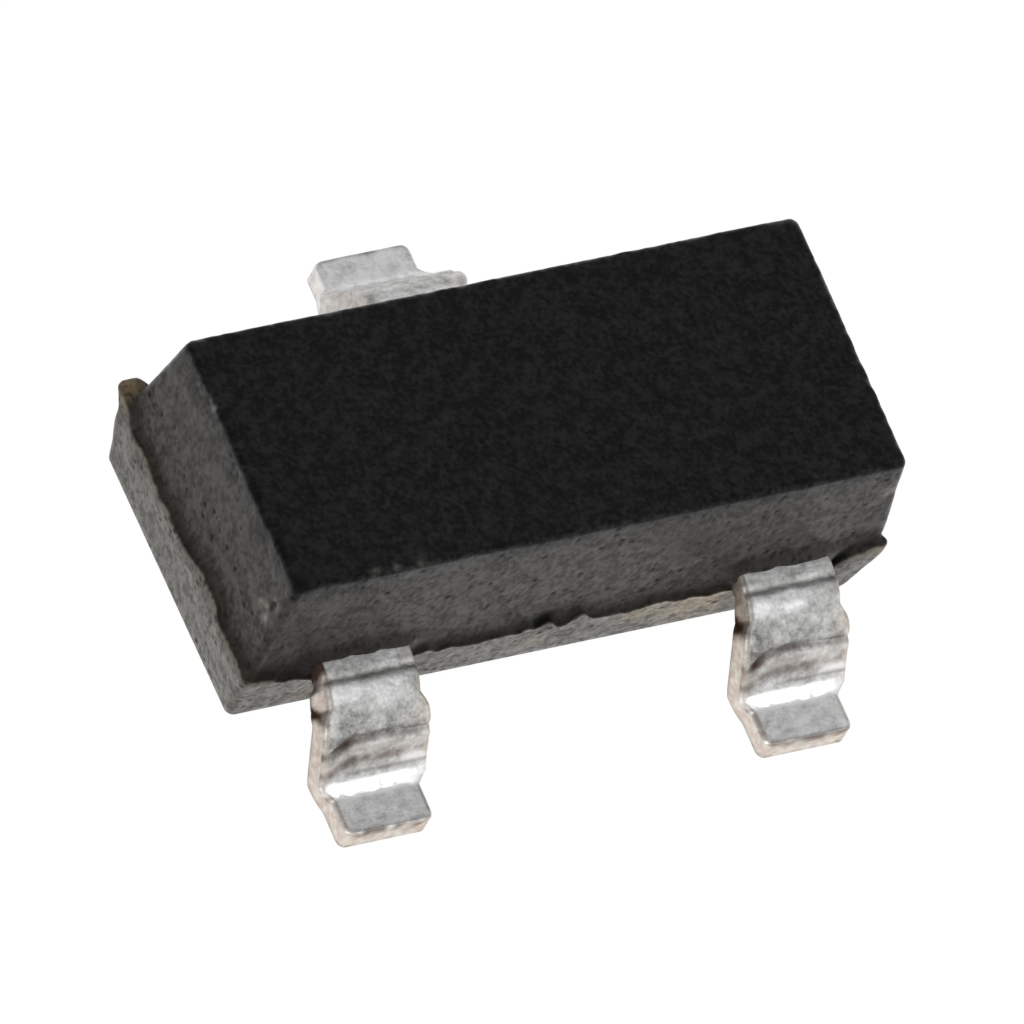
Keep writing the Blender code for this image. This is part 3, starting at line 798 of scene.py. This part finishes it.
def leadPath(first, kneeOut, heelOut, toeOut):
    # centre line as rows of (length along the strip, out, up, slope)
    s = leadSet
    corners = np.array([
        (first, s["middle"]), (s["wall"] + s["stripReach"], s["middle"]),
        (s["wall"] + s["kneeReach"] + kneeOut, s["middle"] - s["kneeDrop"]),
        (s["footStart"] + heelOut, s["sheet"] / 2), (s["toe"] + toeOut, s["sheet"] / 2),
    ])
    runs = np.diff(corners, axis=0)
    slopes = np.arctan2(runs[:, 1], runs[:, 0])
    points = [(*corners[0], slopes[0])]
    for corner, slopeIn, slopeOut, bend in zip(corners[1:], slopes, slopes[1:], s["bends"]):
        bent = slopeOut - slopeIn
        side = math.copysign(bend, bent)
        start = corner - np.array([math.cos(slopeIn), math.sin(slopeIn)]) * bend * math.tan(abs(bent) / 2)
        centre = start + np.array([-math.sin(slopeIn), math.cos(slopeIn)]) * side
        for step in range(s["bendSteps"] + 1):
            slope = slopeIn + bent * step / s["bendSteps"]
            points.append((centre[0] + math.sin(slope) * side, centre[1] - math.cos(slope) * side, slope))
    points.append((*corners[-1], slopes[-1]))
    points = np.array(points)
    steps = np.linalg.norm(np.diff(points[:, :2], axis=0), axis=1)
    length = first + np.concatenate([[0], np.cumsum(steps)])
    return np.column_stack([length, points])


def makeLead(node, material):
    s, place = leadSet, leadPlaces[node]
    facing, outs, outline = place["facing"], place["out"], place["inside"]
    path = leadPath(outline[0][0], *outs)
    end = path[-1, 0]
    knee = float(np.interp(s["wall"] + s["kneeReach"] + outs[0], path[:, 1], path[:, 0]))
    inner = [row[0] for row in outline]
    fine = np.arange(inner[-1] + 0.03, end - 0.012, s["spacing"])
    # rings crowd together at the toe, and the last two make its cut face
    tipSteps = np.array([0.010, 0.008, 0.006, 0.0045, 0.003, 0.0015, 0.0005, 0.0, 0.0, 0.0])
    along = np.concatenate([inner, fine, end - tipSteps])
    out, up, slope = (np.interp(along, path[:, 0], path[:, column]) for column in (1, 2, 3))

    # half width of the outer outline: neck, swelling over the cut bars, foot, rounded toe
    turns = np.radians(np.linspace(0, 90, 13))
    stubHalf, toeRound = s["neckHalf"] + s["stub"], s["toeRound"]
    rows = [(knee - 0.08 + 0.08 * angle / turns[-1], s["neckHalf"] + s["stub"] * math.sin(angle))
            for angle in turns]
    rows += [(knee + 0.26, stubHalf), (knee + 0.345, s["footHalf"])]
    rows += [(end - toeRound * (1 - math.sin(angle)), s["footHalf"] - toeRound * (1 - math.cos(angle)))
             for angle in turns]
    widths = [(length, -half, half) for length, half in rows]
    table = np.array(outline + widths)
    left = np.interp(along, table[:, 0], table[:, 1])
    right = np.interp(along, table[:, 0], table[:, 2])

    # section: share from left to right edge, offset across, level, zone (0 below, 1 side, 2 rolled edge, 3 top)
    roll, burr = s["roll"], s["burr"]
    halfSheet = s["sheet"] / 2
    section = [(share, 0.0, -halfSheet, 0) for share in np.linspace(0.01, 0.99, 24)]
    section += [(1, 0.0, level, 1) for level in np.linspace(-halfSheet + burr, halfSheet - roll, 7)]
    section += [(1, roll * (math.cos(angle) - 1), halfSheet + roll * (math.sin(angle) - 1), 2)
                for angle in np.radians(np.linspace(15, 90, 6))]
    section += [(share, 0.0, halfSheet, 3) for share in np.linspace(0.94, 0.06, 48)]
    section += [(0, roll * (1 - math.sin(angle)), halfSheet + roll * (math.cos(angle) - 1), 2)
                for angle in np.radians(np.linspace(0, 75, 6))]
    section += [(0, 0.0, level, 1) for level in np.linspace(halfSheet - roll, -halfSheet + burr, 7)]
    section = np.array(section)
    share, sideways, level, zone = (section[:, column] for column in range(4))

    left = left - place["wider"] * rise(along, 1.05, 1.16)
    width = (right - left)[:, None]
    acrossX = left[:, None] + share * width + sideways
    level = np.repeat(level[None], len(along), axis=0)
    flare = place["flare"] * between(along, *s["neck"])[:, None]
    acrossX -= flare * (1 - rise(share, 0.0, 0.25)) * rise(-level, roll - halfSheet, halfSheet)
    # the cut toe is slightly rounded over
    tip = np.clip((along - (end - s["endRound"])) / s["endRound"], 0, 1)[:, None]
    shrink = s["endRound"] * (1 - np.sqrt(np.maximum(1 - tip ** 2, 0)))
    acrossX = acrossX - np.sign(acrossX) * np.minimum(shrink, np.abs(acrossX))
    level = level - np.sign(level) * np.minimum(shrink, np.abs(level))
    for row, part in ((-2, 0.62), (-1, 0.22)):
        acrossX[row] *= 1 - (1 - part) * halfSheet / s["footHalf"]
        level[row] *= part

    # dents pressed by the forming tool: a straight groove, and a knee line that drops away at the left
    over = rise(level, 0.0, halfSheet * 0.9)
    length = np.repeat(along[:, None], section.shape[0], axis=1)
    bow = 0.055 * np.clip((-0.10 - acrossX) / 0.10, 0, 1.0) ** 1.6 + 0.010 * rise(acrossX, 0.06, 0.18)
    curve = s["kneeLine"] + outs[0] + bow * (facing < 0)
    groove = hump(length, s["groove"], 0.012) + 1.3 * hump(length, s["groove"], 0.042)
    level = level - over * s["grooveDepth"] * groove
    level = level - over * s["kneeDepth"] * hump(length, curve, 0.013) * (1 - rise(-acrossX, 0.185, 0.225))
    level = level + over * s["kneeRise"] * hump(length, curve + 0.035, 0.02)

    rings = np.stack([
        place["x"] + acrossX + place["skew"] * between(length, *s["lean"]),
        facing * (out[:, None] - np.sin(slope)[:, None] * level),
        up[:, None] + np.cos(slope)[:, None] * level,
    ], axis=-1)
    seed = s["seed"] + 10 * sorted(leadPlaces).index(node)
    outside = rise(length, 0.62, 0.68)
    rough = outside * over * layered(rings, s["plateWaves"], seed)
    rough += over * between(length, *s["shoulder"]) * layered(rings, [s["shoulderWave"]], seed + 2)
    rings[..., 1] += facing * -np.sin(slope)[:, None] * rough
    rings[..., 2] += np.cos(slope)[:, None] * rough
    rings[..., 2] = np.maximum(rings[..., 2], 0.0)

    # painted marks: red the cut edges with painted reflection and highlight tints by the knee, green tarnish
    # and painted shade, blue burnished with a painted highlight patch
    marks = np.zeros(rings.shape[:2] + (4,))
    front = facing < 0
    frontWeight = 1.0 if front else 0.25  # the back lead gets less of the stains and painted shade
    top = (zone >= 2) & (level > 0)
    edges = np.isin(zone, (1, 2))
    leftEdge, rightSide = edges & (share < 0.5), (zone == 1) & (share > 0.98)
    face = rise(length, end - 0.004, end)  # cut face of the toe
    below = length - curve  # how far past the knee line
    side = edges * np.where(zone == 2, 0.5, 1.0)
    marks[..., 0] = side * outside * (0.8 if front else 0.3) + 0.70 * face
    # red also tints the bands of painted reflection below the knee line, and paints a cream highlight at the
    # right before the knee
    marks[..., 0] += top * 0.3 * hump(below, 0.075, 0.050) * rise(length, 0.9, 0.95)
    marks[..., 0] += top * 0.35 * hump(length, 0.90, 0.04) * rise(acrossX, 0.12, 0.2)

    # edges and sides: the torn bar, the root beside the body, painted shadow along the left rolled edge, the
    # knee, painted shade in the crease at the heel's left edge, and the burr
    strong = s["stainsAndShade"]
    patchy = 0.65 + 0.6 * swells(rings, 0.035, seed + 3)
    torn = 0.014 * swells(rings, 0.030, seed + 8)
    brown, spread = place["cutBrown"]
    stainAndShade = brown * np.clip(0.9 - 9 * level, 0.25, 1.25) * leftEdge
    stainAndShade *= hump(length + 0.8 * torn - 0.45 * level, s["cutBar"], spread * (1 - 3 * level))
    stainAndShade += place["rootBrown"] * frontWeight * leftEdge * (1 - rise(length + torn, 0.69, 0.73))
    stainAndShade += strong["rolledEdge"] * (zone == 2) * (share < 0.5) * between(length, 0.70, 0.74, 0.84, 0.90)
    stainAndShade += strong["rightKnee"] * rightSide * hump(length, knee - 0.02, 0.03)
    stainAndShade += strong["toeCorner"] * frontWeight * leftEdge * rise(level, 0.02, 0.04) * hump(length, 1.235, 0.018)
    stainAndShade += strong["burr"] * (zone == 1) * rise(-level, 0.030, 0.048) * outside
    farLeft = 1 - rise(acrossX, -0.175, -0.115)
    # top: painted shade and tarnish along the knee crease and in front of it, an olive bar of painted dark
    # reflection, a thin painted dark line above the heel's highlight, painted shadow along the foot's rims
    topDirtAndShade = strong["kneeLeft"] * hump(below, 0.006, 0.024) * farLeft * patchy
    topDirtAndShade += strong["kneeLine"] * hump(below, 0.006, 0.017) * (1 - 0.5 * rise(acrossX, 0.0, 0.10)) * patchy
    topDirtAndShade += strong["kneeFront"] * hump(below, 0.030, 0.030) * (1 - rise(acrossX, -0.14, -0.04)) * patchy
    olive = (1 - 0.75 * rise(acrossX, 0.03, 0.13)) * (0.8 + 0.5 * swells(rings, 0.03, seed + 5))
    topDirtAndShade += strong["olive"] * hump(below, 0.097, 0.027) * olive
    topDirtAndShade += strong["heelLine"] * hump(length, 1.100 + outs[0], 0.009) * rise(acrossX, -0.14, -0.02)
    footEdge = between(length, *s["footEdge"], end - 0.05, end - 0.02) * ((share < 0.03) | (share > 0.97))
    topDirtAndShade += strong["footEdge"] * footEdge * patchy
    stainAndShade += frontWeight * top * topDirtAndShade
    # toe: a dark rim, and a face that is darker at its top and bottom
    stainAndShade += top * strong["toeRim"] * hump(length, end - 0.005, 0.010) * (1 - 0.5 * face) * patchy
    stainAndShade += top * strong["toeRight"] * (share > 0.95) * rise(length, end - 0.035, end - 0.01) * patchy
    everywhere, low, high = strong["toeFace"]
    stainAndShade += face * (everywhere + low * rise(-level, 0.025, 0.048) + high * rise(level, 0.010, 0.030)) * patchy
    marks[..., 1] = stainAndShade

    # burnished heel, and a painted highlight patch below the knee beside it
    wave = 0.010 * swells(rings, 0.05, seed + 4) + 0.004 * swells(rings, 0.018, seed + 7)
    start, full, fading, finish = s["heelBright"]
    heel = rise(length + 0.4 * wave, start, full) * (1 - rise(length + wave, fading, finish))
    heel *= rise(share, 0.03, 0.10) * (1 - 0.7 * rise(share, 0.72, 0.96)) * (1 if front else 0.2)
    bright = rise(acrossX, 0.10, 0.15) * hump(below, 0.122, 0.024)
    marks[..., 2] = top * (heel + 0.75 * bright)

    # painted light and shade on the plate: pale below the groove at the left, greyer towards the knee and the
    # right
    tone = np.interp(length, *np.array(s["tones"]).T)
    tone += between(length, 0.74, 0.78, 0.90, 0.94) * (-0.3 * acrossX + 0.14 * swells(rings, 0.055, seed + 9))
    tone += hump(length, 0.785, 0.03) * (-0.9 * acrossX + 0.10 * swells(rings, 0.03, seed + 13))
    tone -= 0.15 * hump(length, 0.85, 0.04) * (1 - rise(acrossX, -0.14, -0.06))
    tone += 0.12 * hump(length, 0.89, 0.045) * rise(acrossX, 0.0, 0.10)
    tone -= 0.5 * frontWeight * hump(below, 0.006, 0.028) * farLeft
    if not front:  # the back lead's painted light and shade is more even
        foot = 0.19 + 0.15 * swells(rings, 0.06, seed + 12)
        tone = 0.4 * tone + 0.36 + foot * rise(length, 1.20, 1.26)
    marks[..., 3] = tone
    if not front:  # keep the faces turned outwards
        rings, marks = rings[:, ::-1], marks[:, ::-1]
    makeSkin(node.replace("_l", "L"), rings, marks, material, node)


# inside the case: silicon die, the silver-filled layer under it, gold wires

insideSet = {
    # sawn and polished wafer: a dark grey mirror with faint saw marks, aluminium pads on top
    "polishedSilicon": {"dark": "#4c5058", "light": "#666b75", "grain": 0.02, "gloss": (0.12, 0.32),
                        "metallic": 0.9, "depth": 0.0, "pad": "#d5d6d8"},
    # silver flakes in epoxy, dispensed and cured: a dull silvery paste, grain about as wide as the flakes
    "silverFilledEpoxy": {"dark": "#8d8b87", "light": "#b9b7b2", "grain": 0.006, "gloss": (0.4, 0.6),
                          "metallic": 0.7, "depth": 0.001},
    # drawn gold: smooth and warm, with the faintest draw marks
    "drawnGoldWire": {"dark": "#d9a54a", "light": "#f0c470", "grain": 0.004, "gloss": (0.15, 0.35),
                      "metallic": 1.0, "depth": 0.0004},
    "padDepth": 0.002,  # the pads start this far below the die's top
}


def makeInside(name):
    # a finish hidden in the case: two tones and a gloss that vary with one fine grain
    look = insideSet[name]
    material, tree, shader = newMaterial(name)
    place = addNode(tree, "ShaderNodeTexCoord").outputs["Object"]
    grain = addNode(tree, "ShaderNodeTexNoise", {
        "Vector": place, "Scale": perSize(look["grain"]), "Detail": 2.0,
    }).outputs["Fac"]
    tone = addNode(tree, "ShaderNodeMapRange", {"Value": grain, "From Min": 0.35, "From Max": 0.65})
    colour = addNode(tree, "ShaderNodeMix", {
        0: tone.outputs["Result"], 6: hexColour(look["dark"]), 7: hexColour(look["light"]),
    }, data_type="RGBA")
    if "pad" in look:
        height = addNode(tree, "ShaderNodeSeparateXYZ", {"Vector": place}).outputs["Z"]
        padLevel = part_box("silicon_die")[1].z - insideSet["padDepth"] * mm
        isPad = addNode(tree, "ShaderNodeMath", {0: height, 1: padLevel}, operation="GREATER_THAN")
        colour = addNode(tree, "ShaderNodeMix", {
            0: isPad.outputs[0], 6: colour.outputs[2], 7: hexColour(look["pad"]),
        }, data_type="RGBA")
    tree.links.new(colour.outputs[2], shader.inputs["Base Color"])
    shader.inputs["Metallic"].default_value = look["metallic"]
    smooth, rough = look["gloss"]
    gloss = addNode(tree, "ShaderNodeMapRange", {"Value": grain, "To Min": smooth, "To Max": rough})
    tree.links.new(gloss.outputs["Result"], shader.inputs["Roughness"])
    if look["depth"]:
        relief = addNode(tree, "ShaderNodeBump", {"Height": grain, "Distance": look["depth"] * mm})
        tree.links.new(relief.outputs["Normal"], shader.inputs["Normal"])
    return material


def dress(node, material):
    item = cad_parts[node]
    for slot in item.material_slots:
        slot.material = material


epoxy, tin = makeEpoxy(), makeTin()
print("materials made")
makeBody(epoxy)
for lead in leadPlaces:
    makeLead(lead, tin)

gold = makeInside("drawnGoldWire")
dress("silicon_die", makeInside("polishedSilicon"))
dress("die_attach", makeInside("silverFilledEpoxy"))
for wire in ("gate_wire", "source_wire_front", "source_wire_rear"):
    dress(wire, gold)
print("inside dressed")
